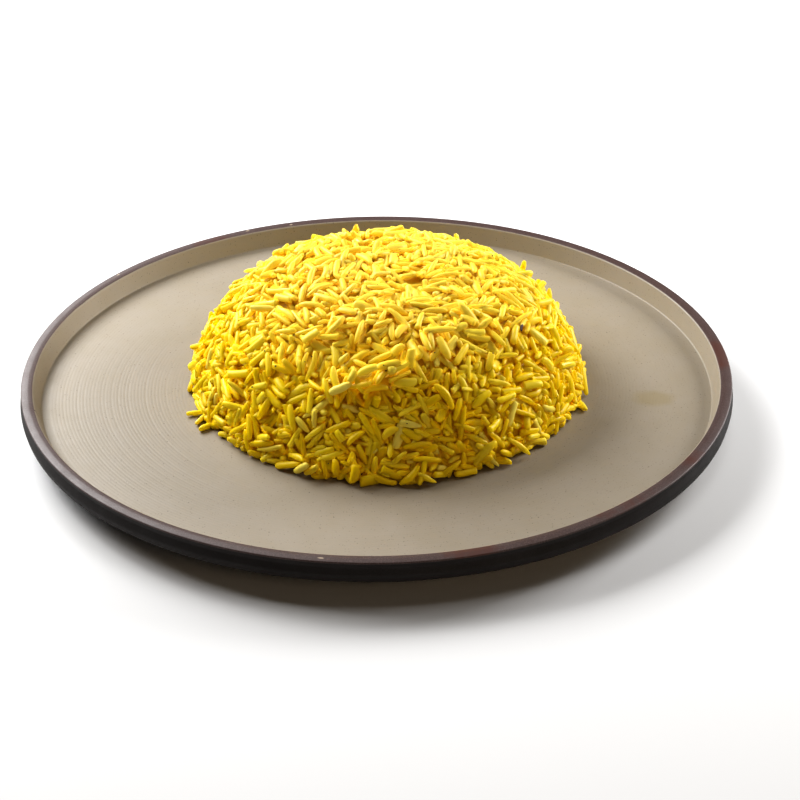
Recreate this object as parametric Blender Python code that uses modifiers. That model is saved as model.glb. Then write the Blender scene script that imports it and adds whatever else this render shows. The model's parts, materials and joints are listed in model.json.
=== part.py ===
"""A moulded heap of yellow rice on a round stoneware plate.

Units are metres and +Z is up. The origin is the middle of the foot ring, on the surface that
the plate stands on. +X is the right of the plate as it is served and +Y is its far side.

Pieces, each one closed solid:
  plate  a flat round plate with a short upright wall and a foot ring, turned from one profile
  rice   a heap pressed in a bowl and turned out: a lumpy core with long grains fused on
"""
import math
import random

import bmesh
import bpy
from mathutils import Matrix, Vector, noise
from mathutils.bvhtree import BVHTree

MM = 0.001

# Plate, turned round the Z axis.
PLATE_HEIGHT = 17.0 * MM
RIM_OUTER_RADIUS = 135.0 * MM
RIM_INNER_RADIUS = 130.5 * MM
RIM_FALL = 0.1 * MM
BELLY_RADIUS = 135.5 * MM
BELLY_HEIGHT = 11.9 * MM
FLOOR_RADIUS = 127.8 * MM
FLOOR_HEIGHT = 9.5 * MM
WALL_FOOT_RADIUS = 134.9 * MM
WALL_FOOT_HEIGHT = 9.3 * MM
UNDERSIDE_RADIUS = 125.0 * MM
UNDERSIDE_HEIGHT = 4.0 * MM
FOOT_OUTER_RADIUS = 93.0 * MM
FOOT_INNER_RADIUS = 88.0 * MM
FOOT_TAPER = 0.8 * MM
RECESS_HEIGHT = 4.4 * MM
PLATE_STEPS = 64

# Heap of rice. A section of it is (r / radius)^R_POWER + (z / height)^Z_POWER = 1.
GAP = 0.3 * MM
HEAP_X = 4.4 * MM
HEAP_Y = 2.0 * MM
HEAP_RADIUS = 76.0 * MM
HEAP_HEIGHT = 47.2 * MM
R_POWER = 3.45
Z_POWER = 1.55
CORE_SEGMENTS = 24
CORE_RINGS = 8
SECTION_BANDS = 300
CORE_INSET = 1.1 * MM
LUMP_DEPTH = 1.1 * MM
LUMP_SPACING = 24.0 * MM
LUMP_RISE = 1.5

# Grains: long grains that lie on the heap, a little more than half sunk in it.
GRAIN_COUNT = 430
GRAIN_SEED = 7
GRAIN_LENGTH_MAX = 10.8 * MM
GRAIN_LENGTH_MIN = 6.6 * MM
GRAIN_WIDTH = 3.0 * MM
GRAIN_SIDES = 4
GRAIN_BANDS = 3
GRAIN_CORE_SHARE = 0.36
GRAIN_SPACING = 0.15 * MM
GRAIN_SINK = 0.3 * MM
GRAIN_TILT = math.radians(4.0)
GRAIN_TRIES = 40000
GRAIN_BASE_CLEARANCE = 0.1 * MM

# Grains that lie round the foot of the heap and stick out of it.
FOOT_GRAIN_COUNT = 18
FOOT_GRAIN_LENGTH = 7.6 * MM
FOOT_GRAIN_REACH = 0.3 * MM
FOOT_GRAIN_SWING = math.radians(55.0)

GLAZE = ("speckled stoneware glaze", (0.47, 0.39, 0.31), 0.35)
COOKED_RICE = ("yellow cooked rice", (0.90, 0.62, 0.03), 0.40)


def clear_scene():
    """Remove whatever objects the file opened with."""
    for obj in list(bpy.data.objects):
        bpy.data.objects.remove(obj, do_unlink=True)


def make_material(name, colour, roughness):
    """A Principled material with one base colour (linear) and roughness, not metallic."""
    material = bpy.data.materials.new(name)
    material.use_nodes = True
    shader = material.node_tree.nodes["Principled BSDF"]
    shader.inputs["Base Color"].default_value = (*colour, 1.0)
    shader.inputs["Roughness"].default_value = roughness
    shader.inputs["Metallic"].default_value = 0.0
    return material


def make_object(name, mesh, collection, finish=None):
    """Link a mesh to a collection as an object, with its own material if a finish is given."""
    obj = bpy.data.objects.new(name, mesh)
    collection.objects.link(obj)
    if finish:
        mesh.materials.append(make_material(*finish))
    return obj


def rounded_outline(corners):
    """Turn corners (radius, height, fillet, segments) into points, with arcs at the fillets."""
    points = []
    for index, (radius, height, fillet, segments) in enumerate(corners):
        corner = Vector((radius, height))
        if not fillet:
            points.append(corner)
            continue
        before = (Vector(corners[index - 1][:2]) - corner).normalized()
        after = (Vector(corners[index + 1][:2]) - corner).normalized()
        half_angle = before.angle(after) / 2
        centre = corner + (before + after).normalized() * (fillet / math.sin(half_angle))
        reach = fillet / math.tan(half_angle)
        start = corner + before * reach - centre
        end = corner + after * reach - centre
        turn = start.angle(end)
        for step in range(segments + 1):
            share = step / segments
            arm = start * math.sin((1 - share) * turn) + end * math.sin(share * turn)
            points.append(centre + arm / math.sin(turn))
    return points


def build_plate(collection):
    """Turn the plate from its section, which runs out over the floor and back underneath."""
    rim = PLATE_HEIGHT
    corners = [
        (0.0, FLOOR_HEIGHT, 0, 0),
        (FLOOR_RADIUS, FLOOR_HEIGHT, 1.4 * MM, 2),
        (RIM_INNER_RADIUS, rim, 0.9 * MM, 2),
        (RIM_OUTER_RADIUS, rim - RIM_FALL, 0.8 * MM, 2),
        (BELLY_RADIUS, BELLY_HEIGHT, 0, 0),
        (WALL_FOOT_RADIUS, WALL_FOOT_HEIGHT, 1.0 * MM, 2),
        (UNDERSIDE_RADIUS, UNDERSIDE_HEIGHT, 0, 0),
        (FOOT_OUTER_RADIUS + FOOT_TAPER, UNDERSIDE_HEIGHT, 0, 0),
        (FOOT_OUTER_RADIUS, 0.0, 0.8 * MM, 1),
        (FOOT_INNER_RADIUS, 0.0, 0.8 * MM, 1),
        (FOOT_INNER_RADIUS - FOOT_TAPER, RECESS_HEIGHT, 0, 0),
        (0.0, RECESS_HEIGHT, 0, 0),
    ]
    section = rounded_outline(corners)
    mesh = bpy.data.meshes.new("plate")
    edges = [(index, index + 1) for index in range(len(section) - 1)]
    mesh.from_pydata([(point.x, 0.0, point.y) for point in section], edges, [])
    plate = make_object("plate", mesh, collection, GLAZE)
    turn = plate.modifiers.new("turn", "SCREW")
    turn.axis = "Z"
    turn.angle = 2 * math.pi
    turn.steps = PLATE_STEPS
    turn.render_steps = PLATE_STEPS
    turn.use_merge_vertices = True
    turn.merge_threshold = 0.00001
    turn.use_smooth_shade = True
    return plate


def heap_section(angle):
    """Radius and height of the bare core at an angle up from its base, as in an ellipse."""
    radius = (HEAP_RADIUS - CORE_INSET) * math.cos(angle) ** (2 / R_POWER)
    height = (HEAP_HEIGHT - CORE_INSET) * math.sin(angle) ** (2 / Z_POWER)
    return radius, height


def heap_point(angle, turn):
    """A point of the core's surface, pushed in or out by soft lumps.

    The push is roughly square to the surface, which is flatter than a ball by LUMP_RISE, and
    level at the foot, so that the base stays flat.
    """
    radius, height = heap_section(angle)
    smooth = Vector((radius * math.cos(turn), radius * math.sin(turn), height))
    lump = noise.noise(smooth / LUMP_SPACING) * LUMP_DEPTH
    outward = Vector((smooth.x, smooth.y, smooth.z * LUMP_RISE)).normalized()
    return smooth + outward * lump + Vector((HEAP_X, HEAP_Y, FLOOR_HEIGHT + GAP))


def section_bands():
    """Cut the core's section into fine bands: the angle, width and mean radius of each."""
    bands = []
    for step in range(SECTION_BANDS):
        angle = math.pi / 2 * step / SECTION_BANDS
        low = Vector(heap_section(angle))
        high = Vector(heap_section(angle + math.pi / 2 / SECTION_BANDS))
        bands.append((angle, (high - low).length, (high.x + low.x) / 2))
    return bands


def ring_angles():
    """Angles of the core's rings, evenly spaced along its section from base to near the top."""
    bands = section_bands()
    spacing = sum(width for _, width, _ in bands) / CORE_RINGS
    picked = []
    travelled = 0.0
    for angle, width, _ in bands:
        if travelled >= spacing * len(picked) and len(picked) < CORE_RINGS:
            picked.append(angle)
        travelled += width
    return picked


def build_core(collection):
    """Loft the lumpy core through its rings, close its top at one point and its base flat."""
    shape = bmesh.new()
    rings = []
    for angle in ring_angles():
        turns = [2 * math.pi * side / CORE_SEGMENTS for side in range(CORE_SEGMENTS)]
        rings.append([shape.verts.new(heap_point(angle, turn)) for turn in turns])
    top = shape.verts.new(heap_point(math.pi / 2, 0.0))
    for lower, upper in zip(rings, rings[1:]):
        for side in range(CORE_SEGMENTS):
            after = (side + 1) % CORE_SEGMENTS
            shape.faces.new((lower[side], lower[after], upper[after], upper[side]))
    for side in range(CORE_SEGMENTS):
        shape.faces.new((rings[-1][side], rings[-1][(side + 1) % CORE_SEGMENTS], top))
    shape.faces.new(list(reversed(rings[0])))
    bmesh.ops.triangulate(shape, faces=shape.faces)
    mesh = bpy.data.meshes.new("rice")
    shape.to_mesh(mesh)
    shape.free()
    return make_object("rice", mesh, collection, COOKED_RICE)


def segment_distance(first, second):
    """Rough least distance between two grains, each the pair of ends of its thick part."""
    shares = (0.0, 0.25, 0.5, 0.75, 1.0)
    return min((first[0].lerp(first[1], a) - second[0].lerp(second[1], b)).length
               for a in shares for b in shares)


def grain_mesh(length, width):
    """A long grain along X: a stretched sphere of few sides, with an edge on top."""
    shape = bmesh.new()
    bmesh.ops.create_uvsphere(shape, u_segments=GRAIN_SIDES, v_segments=GRAIN_BANDS, radius=0.5)
    widest = 2 * max(math.hypot(vert.co.x, vert.co.y) for vert in shape.verts)
    for vert in shape.verts:
        vert.co = (vert.co.z * length, vert.co.x * width / widest, vert.co.y * width / widest)
    mesh = bpy.data.meshes.new("grain")
    shape.to_mesh(mesh)
    shape.free()
    return mesh


def lay_grain(collection, centre, along, up, length, width):
    """Add one grain at a centre, along one direction, with its edge turned up."""
    mesh = grain_mesh(length, width)
    turned = Matrix((along, up.cross(along), up)).transposed().to_4x4()
    mesh.transform(Matrix.Translation(centre) @ turned)
    make_object("grain", mesh, collection)


def place_foot_grains(draw, lowest, collection):
    """Lay grains flat round the foot of the heap, part in it, and return where they lie."""
    placed = []
    for index in range(FOOT_GRAIN_COUNT):
        turn = 2 * math.pi * (index + draw.uniform(-0.35, 0.35)) / FOOT_GRAIN_COUNT
        outward = Vector((math.cos(turn), math.sin(turn), 0.0))
        swing = turn + draw.uniform(-FOOT_GRAIN_SWING, FOOT_GRAIN_SWING)
        along = Vector((math.cos(swing), math.sin(swing), 0.0))
        centre = heap_point(0.0, turn) + outward * FOOT_GRAIN_REACH
        centre.z = lowest + GRAIN_WIDTH / 2
        half = along * FOOT_GRAIN_LENGTH * GRAIN_CORE_SHARE
        placed.append((centre, (centre - half, centre + half)))
        lay_grain(collection, centre, along, Vector((0, 0, 1)), FOOT_GRAIN_LENGTH, GRAIN_WIDTH)
    return placed


def place_grains(core, collection):
    """Scatter grains evenly over the core, the longest first, none crossing another."""
    draw = random.Random(GRAIN_SEED)
    surface = BVHTree.FromObject(core, bpy.context.evaluated_depsgraph_get())
    lowest = FLOOR_HEIGHT + GAP + GRAIN_BASE_CLEARANCE
    bands = section_bands()
    areas = [width * radius for _, width, radius in bands]
    placed = place_foot_grains(draw, lowest, collection)
    for _ in range(GRAIN_TRIES):
        if len(placed) == GRAIN_COUNT:
            break
        share = len(placed) / GRAIN_COUNT
        length = GRAIN_LENGTH_MAX + (GRAIN_LENGTH_MIN - GRAIN_LENGTH_MAX) * share
        width = GRAIN_WIDTH * draw.uniform(0.9, 1.05)
        angle = draw.choices(bands, weights=areas)[0][0]
        wanted = heap_point(angle, draw.uniform(0, 2 * math.pi))
        point, outward, _, _ = surface.find_nearest(wanted)
        sideways = outward.orthogonal().normalized()
        heading = draw.uniform(0, math.pi)
        tilt = draw.uniform(-GRAIN_TILT, GRAIN_TILT)
        flat = sideways * math.cos(heading) + outward.cross(sideways) * math.sin(heading)
        along = flat * math.cos(tilt) + outward * math.sin(tilt)
        up = (outward - along * outward.dot(along)).normalized()
        centre = point - outward * GRAIN_SINK
        half = along * length * GRAIN_CORE_SHARE
        ends = (centre - half, centre + half)
        if min(end.z for end in ends) - width / 2 < lowest:
            continue
        near = [other for other in placed if (other[0] - centre).length < GRAIN_LENGTH_MAX]
        if any(segment_distance(ends, other[1]) < width + GRAIN_SPACING for other in near):
            continue
        placed.append((centre, ends))
        lay_grain(collection, centre, along, up, length, width)


def apply_modifiers(obj):
    """Replace an object's mesh by the one its modifiers give, and drop them."""
    evaluated = obj.evaluated_get(bpy.context.evaluated_depsgraph_get())
    mesh = bpy.data.meshes.new_from_object(evaluated)
    old = obj.data
    obj.modifiers.clear()
    obj.data = mesh
    bpy.data.meshes.remove(old)


def build_rice(collection, cutters):
    """Fuse the grains on the core with one union, then remove the loose grains."""
    rice = build_core(collection)
    place_grains(rice, cutters)
    fuse = rice.modifiers.new("grains", "BOOLEAN")
    fuse.operation = "UNION"
    fuse.operand_type = "COLLECTION"
    fuse.collection = cutters
    apply_modifiers(rice)
    for grain in list(cutters.objects):
        bpy.data.objects.remove(grain, do_unlink=True)
    return rice


def main():
    """Build the plate and the heap of rice on it."""
    clear_scene()
    parts = bpy.data.collections.new("plate of rice")
    cutters = bpy.data.collections.new("loose grains")
    bpy.context.scene.collection.children.link(parts)
    bpy.context.scene.collection.children.link(cutters)
    build_plate(parts)
    build_rice(parts, cutters)


main()
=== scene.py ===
"""Looks of a plate of yellow rice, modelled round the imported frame.

A heap of long-grain rice, coloured with turmeric, was pressed in a bowl and turned out on a flat
stoneware plate. The plate is turned again here with its throwing rings, its glazes and its wear.
The heap is made of separate grains, pressed together in the same bowl shape, over a core.

Lengths are metres. +X is the right of the plate, +Y its far side, and +Z is up.
"""
from __future__ import annotations

import json
import logging
import math
from dataclasses import dataclass, field
from enum import Enum
from typing import Any

import bmesh
import bpy
import numpy as np
from mathutils import Matrix, Vector, noise

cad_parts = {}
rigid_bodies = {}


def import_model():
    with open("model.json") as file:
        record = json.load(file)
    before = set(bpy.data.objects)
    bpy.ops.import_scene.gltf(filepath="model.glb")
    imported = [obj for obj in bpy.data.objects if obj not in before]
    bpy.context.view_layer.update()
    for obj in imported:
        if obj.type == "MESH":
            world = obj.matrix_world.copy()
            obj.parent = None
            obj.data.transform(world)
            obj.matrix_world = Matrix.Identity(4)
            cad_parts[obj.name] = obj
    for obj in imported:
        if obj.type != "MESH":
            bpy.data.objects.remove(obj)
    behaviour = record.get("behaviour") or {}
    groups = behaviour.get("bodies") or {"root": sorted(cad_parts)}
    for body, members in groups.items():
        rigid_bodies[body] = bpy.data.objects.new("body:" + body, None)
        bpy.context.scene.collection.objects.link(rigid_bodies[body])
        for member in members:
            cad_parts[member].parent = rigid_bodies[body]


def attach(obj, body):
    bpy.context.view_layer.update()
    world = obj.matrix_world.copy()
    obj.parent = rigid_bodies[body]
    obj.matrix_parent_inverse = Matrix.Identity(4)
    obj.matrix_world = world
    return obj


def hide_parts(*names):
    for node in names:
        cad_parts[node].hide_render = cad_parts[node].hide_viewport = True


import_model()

MM = 0.001
TURN = 2 * math.pi
TINY = 1e-7

Socket = bpy.types.NodeSocket
Span = tuple[float, float]

log = logging.getLogger("plate_of_rice")


def linear(hex_code: str) -> tuple[float, float, float, float]:
    """Turn an sRGB hex colour into linear light.

    Args:
        hex_code: Six hex digits after a hash.

    Returns:
        Red, green, blue and an alpha of one.
    """
    channels = [int(hex_code[i:i + 2], 16) / 255 for i in (1, 3, 5)]
    red, green, blue = (
        c / 12.92 if c <= 0.04045 else ((c + 0.055) / 1.055) ** 2.4 for c in channels
    )
    return red, green, blue, 1.0


def add_node(
    tree: bpy.types.NodeTree, kind: str, inputs: dict[str | int, Any] | None = None, **settings: Any
) -> bpy.types.Node:
    """Add a node with its settings, and fill or link its inputs.

    Args:
        tree: The tree that the node joins.
        kind: Blender's type name of the node.
        inputs: For each input socket, by name or number, a value or the output that feeds it.
        **settings: The node's own properties.

    Returns:
        The new node.
    """
    node = tree.nodes.new(kind)
    for name, value in settings.items():
        setattr(node, name, value)
    for key, value in (inputs or {}).items():
        if isinstance(value, Socket):
            tree.links.new(value, node.inputs[key])
        else:
            node.inputs[key].default_value = value
    return node


class Finish:
    """A material and its nodes, wired by short calls.

    Attributes:
        material: The material.
        tree: Its node tree.
        place: Object coordinates in metres.
    """

    def __init__(self, name: str) -> None:
        """Start with an empty tree.

        Args:
            name: What the material is.
        """
        self.material = bpy.data.materials.new(name)
        self.material.use_nodes = True
        self.tree = self.material.node_tree
        self.tree.nodes.clear()
        self.place = self.add("TexCoord").outputs["Object"]

    def add(self, kind: str, inputs: dict[str | int, Any] | None = None, **settings: Any) -> bpy.types.Node:
        """Add a shader node."""
        return add_node(self.tree, "ShaderNode" + kind, inputs, **settings)

    def math(self, operation: str, *terms: float | Socket) -> Socket:
        """Add, multiply or compare values and outputs."""
        return self.add("Math", dict(enumerate(terms)), operation=operation).outputs[0]

    def noise(self, spacing: float, detail: float = 3.0, roughness: float = 0.6) -> Socket:
        """Uneven patches, from 0 to 1, whose size is given in metres."""
        return self.add("TexNoise", {
            "Vector": self.place, "Scale": 1 / spacing, "Detail": detail, "Roughness": roughness,
        }).outputs["Fac"]

    def remap(self, value: Socket, given: Span, wanted: Span = (0.0, 1.0)) -> Socket:
        """Stretch one span of values over another, and hold them in it."""
        return self.add("MapRange", {
            "Value": value, "From Min": given[0], "From Max": given[1],
            "To Min": wanted[0], "To Max": wanted[1],
        }).outputs["Result"]

    def step(self, value: Socket, middle: float, softness: float) -> Socket:
        """A soft step from 0 to 1 past a middle, or from 1 to 0 with a negative softness."""
        return self.remap(value, (middle - softness, middle + softness))

    def mix(self, factor: Socket, under: Socket | str, over: Socket | str) -> Socket:
        """Lay one colour over another by a factor. A colour is an output or an sRGB hex code."""
        under, over = (linear(colour) if isinstance(colour, str) else colour for colour in (under, over))
        return self.add("Mix", {"Factor": factor, 6: under, 7: over}, data_type="RGBA").outputs[2]

    def length(self, vector: Socket) -> Socket:
        """How long a vector is."""
        return self.add("VectorMath", {0: vector}, operation="LENGTH").outputs["Value"]

    def stored(self, name: str) -> Socket:
        """Read a value that the mesh stores."""
        return self.add("Attribute", attribute_name=name).outputs["Fac"]

    def bump(self, height: Socket, strength: float, distance: float) -> Socket:
        """Raise the surface by a pattern."""
        return self.add("Bump", {
            "Height": height, "Strength": strength, "Distance": distance,
        }).outputs["Normal"]

    def closed(self, inputs: dict[str, Any], **settings: Any) -> bpy.types.Material:
        """End the tree with a principled shader, and give the material.

        Args:
            inputs: Values and outputs for the shader's sockets.
            **settings: The shader's own properties.

        Returns:
            The material.
        """
        shader = self.add("BsdfPrincipled", inputs, **settings)
        self.add("OutputMaterial", {"Surface": shader.outputs["BSDF"]})
        return self.material


def add_object(name: str, data: bpy.types.ID) -> bpy.types.Object:
    """Put a mesh, lamp or camera in the scene as an object.

    Args:
        name: The object's name.
        data: The mesh, lamp or camera.

    Returns:
        The object.
    """
    obj = bpy.data.objects.new(name, data)
    bpy.context.scene.collection.objects.link(obj)
    return obj


def make_piece(name: str, mesh: bpy.types.Mesh, material: bpy.types.Material) -> bpy.types.Object:
    """Put a mesh in the scene as a smooth-shaded object with one material.

    Args:
        name: The object's name.
        mesh: Its mesh, in the frame's own coordinates.
        material: Its finish.

    Returns:
        The object.
    """
    mesh.materials.clear()
    mesh.materials.append(material)
    mesh.shade_smooth()
    return add_object(name, mesh)


def baked(shape: bmesh.types.BMesh, name: str) -> bpy.types.Mesh:
    """Turn a shape under construction into a mesh, and free it.

    Args:
        shape: The shape.
        name: The mesh's name.

    Returns:
        The mesh.
    """
    mesh = bpy.data.meshes.new(name)
    shape.to_mesh(mesh)
    shape.free()
    return mesh


def plain_mesh(obj: bpy.types.Object, name: str) -> bpy.types.Mesh:
    """Read what an object's modifiers make of it as a mesh of its own, and remove the object.

    Args:
        obj: The object with its modifiers.
        name: The mesh's name.

    Returns:
        The mesh.
    """
    bpy.context.view_layer.update()
    mesh = bpy.data.meshes.new_from_object(
        obj.evaluated_get(bpy.context.evaluated_depsgraph_get())
    )
    discard(obj)
    mesh.name = name
    return mesh


def discard(obj: bpy.types.Object) -> None:
    """Remove an object and its mesh.

    Args:
        obj: The object.
    """
    mesh = obj.data
    bpy.data.objects.remove(obj, do_unlink=True)
    if mesh.users == 0:
        bpy.data.meshes.remove(mesh)


@dataclass(frozen=True)
class Blemish:
    """A small mark in the glaze: an ellipse with an uneven edge.

    Attributes:
        x: Its middle, from the plate's axis.
        y: The same, towards the far side.
        length: Half its length.
        width: Half its width.
        turn: The direction of its length in degrees, counted from +X.
        colour: What shows there.
        strength: How much of the glaze it hides.
        softness: The part of its size over which it fades.
    """

    x: float
    y: float
    length: float
    width: float
    turn: float
    colour: str
    strength: float
    softness: float


BARE_CLAY = "#B9A88F"
STAIN = Blemish(104.6 * MM, -16.4 * MM, 9.0 * MM, 6.2 * MM, -3.0, "#8A7C5C", 0.55, 0.26)
NICK = Blemish(-126.6 * MM, -31.5 * MM, 1.5 * MM, 0.45 * MM, -160.0, "#1E1716", 1.0, 0.25)
CHIPS = (
    Blemish(-19.2 * MM, -131.5 * MM, 1.1 * MM, 0.35 * MM, -8.0, BARE_CLAY, 0.9, 0.3),
    Blemish(-55.2 * MM, 120.9 * MM, 0.9 * MM, 0.5 * MM, 25.0, BARE_CLAY, 0.8, 0.3),
    Blemish(-36.6 * MM, 126.6 * MM, 0.7 * MM, 0.4 * MM, 16.0, BARE_CLAY, 0.8, 0.3),
    Blemish(-107.0 * MM, 79.6 * MM, 0.9 * MM, 0.4 * MM, 53.0, BARE_CLAY, 0.8, 0.3),
)


@dataclass(frozen=True)
class StonewareGlaze:
    """Wheel-thrown stoneware: a satin beige glaze inside, iron-brown glaze on rim and back.

    The beige glaze shows small iron specks. The iron glaze lies thick and nearly black on the
    wall, and thinner and purple-brown over the rim, where rubbing has worn it to red-brown. The
    foot ring is wiped bare.
    """

    rim_radius: float
    rim_height: float
    underside_top: float
    bare_height: float = 0.35 * MM
    beige: str = "#958B7C"
    beige_warm: str = "#918672"
    speck: str = "#4A3D33"
    iron: str = "#42302C"
    iron_grain: str = "#6A5653"
    iron_wall: str = "#120A06"
    iron_worn: str = "#4A281E"
    clay: str = "#A58C70"
    wall_grain: float = 0.09
    edge_softness: float = 0.12 * MM
    edge_wander: float = 0.10 * MM
    lip_depth: float = 0.75 * MM
    lip_softness: float = 0.25 * MM
    speck_spacing: float = 2.2 * MM
    speck_radius: float = 0.33 * MM
    speck_strength: float = 0.8
    ragged: float = 0.7
    mark_edge: float = 1.2
    beige_roughness: float = 0.47
    iron_roughness: float = 0.50
    wall_roughness: float = 0.70
    ior: float = 1.47

    def build(self) -> bpy.types.Material:
        """Build the glaze over the whole plate, each zone found from object coordinates.

        Returns:
            The material.
        """
        finish = Finish("speckled stoneware glaze")
        axes = finish.add("SeparateXYZ", {0: finish.place}).outputs
        flat = finish.add("CombineXYZ", {0: axes["X"], 1: axes["Y"]}).outputs[0]
        wander = finish.noise(6 * MM, 2.0, 0.5)
        edge = finish.math("MULTIPLY_ADD", wander, 2 * self.edge_wander, finish.length(flat))
        on_rim = finish.step(edge, self.rim_radius + self.edge_wander, self.edge_softness)
        below = finish.step(axes["Z"], self.underside_top, -self.edge_softness)
        iron_zone = finish.math("MAXIMUM", on_rim, below)
        bare_zone = finish.step(axes["Z"], self.bare_height, -2 * self.edge_softness)
        lip = self.rim_height - self.lip_depth

        colour = finish.mix(iron_zone, self._beige(finish, flat), self._iron(finish, axes["Z"], lip))
        for chip in CHIPS:
            colour = self._blemish(finish, flat, chip, colour)
        colour = finish.mix(bare_zone, colour, self.clay)

        on_wall = finish.math("MULTIPLY", iron_zone, finish.step(axes["Z"], lip, -self.lip_softness))
        rough = finish.remap(iron_zone, (0.0, 1.0), (self.beige_roughness, self.iron_roughness))
        rough = finish.math("MULTIPLY_ADD", on_wall, self.wall_roughness - self.iron_roughness, rough)
        uneven = finish.remap(finish.noise(9 * MM), (0.3, 0.7), (-0.04, 0.05))
        return finish.closed({
            "Base Color": colour,
            "Roughness": finish.math("ADD", rough, uneven),
            "Normal": finish.bump(finish.noise(0.7 * MM), 0.25, 0.03 * MM),
            "IOR": self.ior,
        })

    def _blemish(self, finish: Finish, flat: Socket, mark: Blemish, under: Socket) -> Socket:
        """Lay one blemish over the glaze.

        Args:
            finish: The material that is being built.
            flat: Object coordinates at height zero.
            mark: The blemish.
            under: The glaze's colour.

        Returns:
            The colour output.
        """
        local = finish.add("Mapping", {
            "Vector": flat,
            "Location": (mark.x, mark.y, 0.0),
            "Rotation": (0.0, 0.0, math.radians(mark.turn)),
            "Scale": (mark.length, mark.width, 1.0),
        }, vector_type="TEXTURE").outputs["Vector"]
        patch = finish.noise(mark.length / 1.6)
        edge = finish.math("MULTIPLY_ADD", patch, self.ragged, finish.length(local))
        inside = finish.step(edge, self.mark_edge, -mark.softness)
        return finish.mix(finish.math("MULTIPLY", inside, mark.strength), under, mark.colour)

    def _beige(self, finish: Finish, flat: Socket) -> Socket:
        """Mottled beige with iron specks of two sizes, the stain and the nick in the lip.

        Args:
            finish: The material that is being built.
            flat: Object coordinates at height zero.

        Returns:
            The colour output.
        """
        warmth = finish.remap(finish.noise(14 * MM, 4.0, 0.55), (0.35, 0.7), (0.0, 0.5))
        base = finish.mix(warmth, self.beige, self.beige_warm)
        base = self._blemish(finish, flat, STAIN, base)
        for left_out, spacing, radius in ((0.3, 1.0, 1.0), (0.0, 0.5, 0.66)):
            spacing *= self.speck_spacing
            size = self.speck_radius * radius / spacing
            cells = finish.add("TexVoronoi", {"Vector": finish.place, "Scale": 1 / spacing}).outputs
            chance = finish.add("SeparateColor", {0: cells["Color"]}).outputs["Red"]
            dot = finish.remap(cells["Distance"], (size, size * 0.4))
            strength = finish.remap(chance, (left_out, 1.0), (0.0, self.speck_strength))
            base = finish.mix(finish.math("MULTIPLY", dot, strength), base, self.speck)
        return self._blemish(finish, flat, NICK, base)

    def _iron(self, finish: Finish, height: Socket, lip: float) -> Socket:
        """Iron glaze: black-brown on the wall, purple-brown and grainy on the rim, worn in places.

        Args:
            finish: The material that is being built.
            height: Distance above the foot.
            lip: The height where the rim begins.

        Returns:
            The colour output.
        """
        grain = finish.remap(finish.noise(0.55 * MM, 4.0, 0.75), (0.48, 0.72), (0.0, 0.7))
        rim = finish.mix(grain, self.iron, self.iron_grain)
        rubbed = finish.noise(5 * MM, 5.0, 0.65)
        worn = finish.math("MULTIPLY_ADD", rubbed, 0.9, finish.stored("wear"))
        rim = finish.mix(finish.step(worn, 0.95, 0.12), rim, self.iron_worn)
        dust = finish.math("MULTIPLY", grain, self.wall_grain)
        wall = finish.mix(dust, self.iron_wall, self.iron_grain)
        return finish.mix(finish.step(height, lip, self.lip_softness), wall, rim)


@dataclass(frozen=True)
class CookedRice:
    """Boiled long-grain rice, dyed with turmeric: moist, faintly translucent, uneven in dye.

    Light spreads under the skin, so the yellow is warm and deepens between the grains. The top
    of the heap is painted paler, a painted highlight that stands in for the strong light there.
    """

    name: str
    deep: str
    full: str
    light: str
    # Painted highlight: a paler colour laid over the top of the heap in place of the strong light there;
    # the share and the two heights set how much and where.
    painted_highlight: str = "#F4DC7C"
    painted_highlight_share: float = 0.36
    painted_highlight_from: float = 38.0 * MM
    painted_highlight_to: float = 57.0 * MM
    roughness: float = 0.36
    ior: float = 1.42
    specular: float = 0.24
    scatter: tuple[float, float, float] = (1.0, 1.0, 1.0)
    scatter_reach: float = 2.2 * MM

    def build(self) -> bpy.types.Material:
        """Build the finish, which reads each grain's own dye strength.

        Returns:
            The material.
        """
        finish = Finish(self.name)
        patch = finish.noise(3 * MM)
        dye = finish.math("MULTIPLY_ADD", patch, 0.5, finish.stored("tint"))
        ramp = finish.add("ValToRGB", {0: finish.remap(dye, (0.15, 1.35))})
        stops = ramp.color_ramp.elements
        stops[0].color, stops[1].color = linear(self.deep), linear(self.light)
        stops.new(0.5).color = linear(self.full)
        height = finish.add("SeparateXYZ", {0: finish.place}).outputs["Z"]
        # Painted highlight: the colour turns paler higher up the heap, standing in for the light that falls
        # strongest on the top.
        dried = finish.remap(height, (self.painted_highlight_from, self.painted_highlight_to), (0.0, self.painted_highlight_share))
        wet = (self.roughness - 0.08, self.roughness + 0.12)
        return finish.closed({
            "Base Color": finish.mix(dried, ramp.outputs["Color"], self.painted_highlight),
            "Roughness": finish.remap(patch, (0.35, 0.65), wet),
            "Normal": finish.bump(finish.noise(0.45 * MM, 2.0), 0.15, 0.10 * MM),
            "IOR": self.ior, "Specular IOR Level": self.specular,
            "Subsurface Weight": 1.0, "Subsurface Radius": self.scatter,
            "Subsurface Scale": self.scatter_reach,
        }, subsurface_method="BURLEY")


@dataclass(frozen=True)
class DriedSpice:
    """Crushed dried spice: dark brown, matt and rough, with lighter broken edges."""

    dark: str = "#2E1C0A"
    broken: str = "#6A4414"
    roughness: float = 0.75

    def build(self) -> bpy.types.Material:
        """Build the finish, which reads how brown each fleck is.

        Returns:
            The material.
        """
        finish = Finish("crushed dried spice")
        crumb = finish.noise(0.3 * MM, 2.0)
        share = finish.math("MULTIPLY", crumb, finish.stored("tint"))
        return finish.closed({
            "Base Color": finish.mix(share, self.dark, self.broken),
            "Roughness": self.roughness,
            "Normal": finish.bump(crumb, 0.5, 0.1 * MM),
        })


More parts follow.
